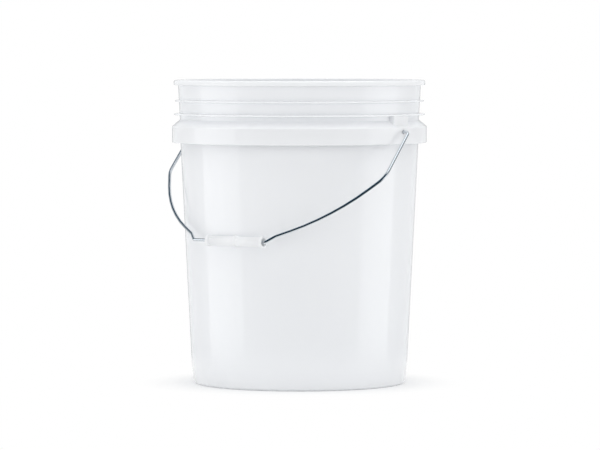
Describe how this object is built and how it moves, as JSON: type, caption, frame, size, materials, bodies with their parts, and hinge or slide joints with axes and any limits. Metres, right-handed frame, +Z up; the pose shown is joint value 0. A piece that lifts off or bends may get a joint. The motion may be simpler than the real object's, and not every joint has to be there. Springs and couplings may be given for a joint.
{
  "type": "bucket",
  "caption": "Open round plastic bucket with a beaded rim, ribbed neck, hanging skirt and tapered wall, carried by a swinging wire bail with a loose hollow grip.",
  "frame": {"origin": "centre of the foot ring, on the surface that the bucket stands on", "axes": "+Z up along the bucket's axis, X through the two ears, the hanging bail on the -Y side"},
  "size_m": [0.3287, 0.3048, 0.3634],
  "materials": {
    "pail_plastic": "smooth glossy white moulded plastic, slightly translucent",
    "bail_wire": "bright drawn galvanised wire",
    "grip_plastic": "satin white moulded plastic"
  },
  "bodies": {
    "pail": {"pail_body": "pail_plastic"},
    "bail": {"wire_bail": "bail_wire"},
    "grip": {"handle_grip": "grip_plastic"}
  },
  "joints": [
    {"name": "bail_swing", "type": "hinge", "parent": "pail", "child": "bail", "pos_m": [0, 0, 0.3029], "axis": [-1, 0, 0], "range_deg": [0, 263]},
    {"name": "grip_spin", "type": "hinge", "parent": "bail", "child": "grip", "pos_m": [0.0135, -0.14331, 0.17588], "axis": [1, 0, 0], "continuous": true}
  ]
}
